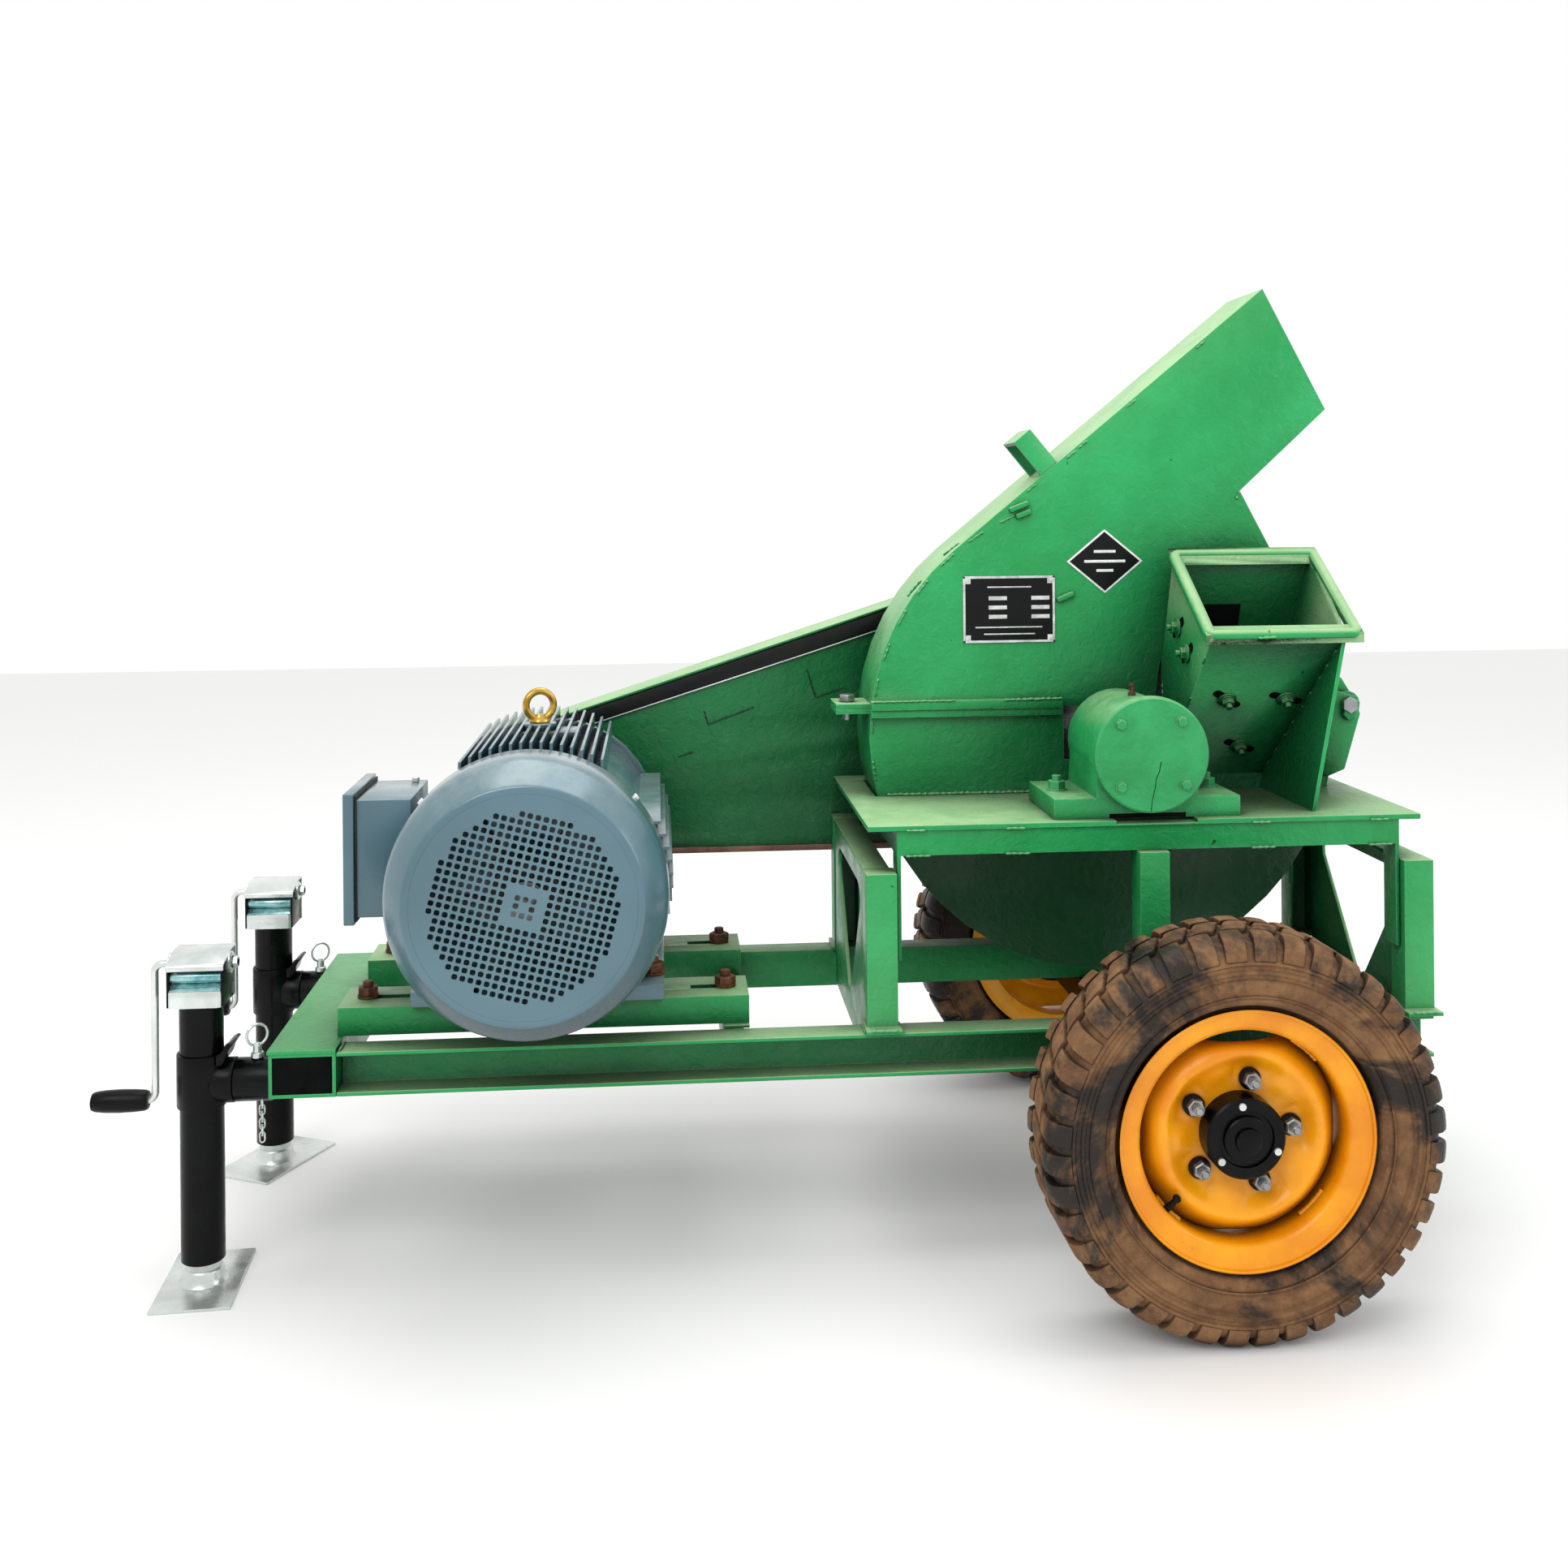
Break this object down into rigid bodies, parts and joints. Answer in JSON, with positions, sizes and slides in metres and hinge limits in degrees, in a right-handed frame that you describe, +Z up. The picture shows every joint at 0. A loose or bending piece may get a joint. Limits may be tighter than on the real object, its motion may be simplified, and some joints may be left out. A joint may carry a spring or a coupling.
{
  "type": "wood chipper",
  "caption": "Towed disc wood chipper: steel frame on road wheels with front jacks, electric motor, belt drive under a guard, slanted feed hopper and upward discharge chute.",
  "frame": {"origin": "on the ground, in the middle of the machine's overall length and width", "axes": "+X along the machine towards the chipper and its wheels, the jacks being at -X; +Y away from the feed hopper towards the belt guard; +Z up"},
  "size_m": [1.954, 1.1, 1.442],
  "materials": {
    "green_paint": "semi-gloss enamel over welded steel plate",
    "motor_paint": "satin machine enamel",
    "rim_paint": "glossy enamel",
    "tyre_rubber": "worn rubber with dried mud",
    "black_paint": "glossy black paint",
    "grip_plastic": "moulded black plastic",
    "zinc_plate": "bright zinc plating",
    "bare_steel": "machined steel",
    "cast_iron": "machined casting",
    "yellow_zinc": "yellow passivated plating",
    "belt_rubber": "cloth-faced rubber",
    "fan_plastic": "moulded plastic"
  },
  "bodies": {
    "frame": {"beam_near": "green_paint", "beam_far": "green_paint", "front_cross_beam": "green_paint", "mid_cross_beam": "green_paint", "rear_cross_beam": "green_paint", "motor_rail_near": "green_paint", "motor_rail_far": "green_paint", "axle": "black_paint", "post_near_left": "green_paint", "post_near_right": "green_paint", "post_far_left": "green_paint", "post_far_right": "green_paint", "mid_post_near": "green_paint", "mid_post_far": "green_paint", "end_plate_left": "green_paint", "end_plate_right": "green_paint", "table": "green_paint", "lower_housing": "green_paint", "hinge_pin": "bare_steel", "hopper": "green_paint", "bed_knife": "bare_steel", "bearing_near": "green_paint", "bearing_cover_near": "green_paint", "bearing_far": "green_paint", "motor_frame": "motor_paint", "drive_end_shield": "motor_paint", "fan_cowl": "motor_paint", "terminal_box": "motor_paint", "lifting_eye": "yellow_zinc", "belt_band": "belt_rubber", "belt_guard": "green_paint"},
    "upper_cover": {"upper_cover": "green_paint"},
    "clamp_bolt": {"clamp_bolt": "bare_steel"},
    "main_rotor": {"main_shaft": "bare_steel", "cutter_disc": "bare_steel", "knife_1": "bare_steel", "knife_2": "bare_steel", "main_pulley": "cast_iron"},
    "motor_rotor": {"motor_shaft": "bare_steel", "motor_fan": "fan_plastic", "motor_pulley": "cast_iron"},
    "wheel_near": {"tyre_near": "tyre_rubber", "rim_near": "rim_paint", "hub_near": "black_paint"},
    "jack_near": {"jack_tube_near": "black_paint", "jack_head_near": "zinc_plate"},
    "jack_leg_near": {"jack_leg_near": "zinc_plate"},
    "jack_crank_near": {"jack_crank_near": "zinc_plate"},
    "jack_grip_near": {"jack_grip_near": "grip_plastic"},
    "jack_pin_near": {"jack_pin_near": "zinc_plate"},
    "wheel_far": {"tyre_far": "tyre_rubber", "rim_far": "rim_paint", "hub_far": "black_paint"},
    "jack_far": {"jack_tube_far": "black_paint", "jack_head_far": "zinc_plate"},
    "jack_leg_far": {"jack_leg_far": "zinc_plate"},
    "jack_crank_far": {"jack_crank_far": "zinc_plate"},
    "jack_grip_far": {"jack_grip_far": "grip_plastic"},
    "jack_pin_far": {"jack_pin_far": "zinc_plate"}
  },
  "joints": [
    {"name": "cover_hinge", "type": "hinge", "parent": "frame", "child": "upper_cover", "pos_m": [0.955, 0.1, 0.758], "axis": [0, 1, 0], "range_deg": [0, 85]},
    {"name": "clamp_bolt_lift", "type": "slide", "parent": "upper_cover", "child": "clamp_bolt", "axis": [0, 0, 1], "range_m": [0, 0.03]},
    {"name": "rotor_spin", "type": "hinge", "parent": "frame", "child": "main_rotor", "pos_m": [0.547, 0.1, 0.721], "axis": [0, 1, 0], "continuous": true},
    {"name": "motor_spin", "type": "hinge", "parent": "frame", "child": "motor_rotor", "pos_m": [-0.353, 0, 0.571], "axis": [0, 1, 0], "continuous": true},
    {"name": "wheel_spin_near", "type": "hinge", "parent": "frame", "child": "wheel_near", "pos_m": [0.577, -0.48, 0.267], "axis": [0, 1, 0], "continuous": true},
    {"name": "jack_swivel_near", "type": "hinge", "parent": "frame", "child": "jack_near", "pos_m": [-0.76, -0.215, 0.285], "axis": [1, 0, 0], "range_deg": [-90, 0]},
    {"name": "jack_crank_turn_near", "type": "hinge", "parent": "jack_near", "child": "jack_crank_near", "pos_m": [-0.85, -0.215, 0.452], "axis": [1, 0, 0], "range_deg": [0, 14400]},
    {"name": "jack_leg_slide_near", "type": "slide", "parent": "jack_near", "child": "jack_leg_near", "axis": [0, 0, -1], "range_m": [0, 0.2]},
    {"name": "jack_grip_spin_near", "type": "hinge", "parent": "jack_crank_near", "child": "jack_grip_near", "pos_m": [-0.93, -0.215, 0.26], "axis": [1, 0, 0], "continuous": true},
    {"name": "jack_pin_pull_near", "type": "slide", "parent": "frame", "child": "jack_pin_near", "axis": [0, 0, 1], "range_m": [0, 0.018], "stiffness_N_per_m": 400, "springref_m": -0.01},
    {"name": "wheel_spin_far", "type": "hinge", "parent": "frame", "child": "wheel_far", "pos_m": [0.577, 0.48, 0.267], "axis": [0, 1, 0], "continuous": true},
    {"name": "jack_swivel_far", "type": "hinge", "parent": "frame", "child": "jack_far", "pos_m": [-0.76, 0.215, 0.285], "axis": [1, 0, 0], "range_deg": [0, 90]},
    {"name": "jack_crank_turn_far", "type": "hinge", "parent": "jack_far", "child": "jack_crank_far", "pos_m": [-0.85, 0.215, 0.452], "axis": [1, 0, 0], "range_deg": [0, 14400]},
    {"name": "jack_leg_slide_far", "type": "slide", "parent": "jack_far", "child": "jack_leg_far", "axis": [0, 0, -1], "range_m": [0, 0.2]},
    {"name": "jack_grip_spin_far", "type": "hinge", "parent": "jack_crank_far", "child": "jack_grip_far", "pos_m": [-0.93, 0.215, 0.26], "axis": [1, 0, 0], "continuous": true},
    {"name": "jack_pin_pull_far", "type": "slide", "parent": "frame", "child": "jack_pin_far", "axis": [0, 0, 1], "range_m": [0, 0.018], "stiffness_N_per_m": 400, "springref_m": -0.01}
  ],
  "couplings": [
    {"joint": "motor_spin", "follows": "rotor_spin", "ratio": 3},
    {"joint": "jack_leg_slide_near", "follows": "jack_crank_turn_near", "m_per_rad": 0.000795},
    {"joint": "jack_leg_slide_far", "follows": "jack_crank_turn_far", "m_per_rad": 0.000795}
  ]
}
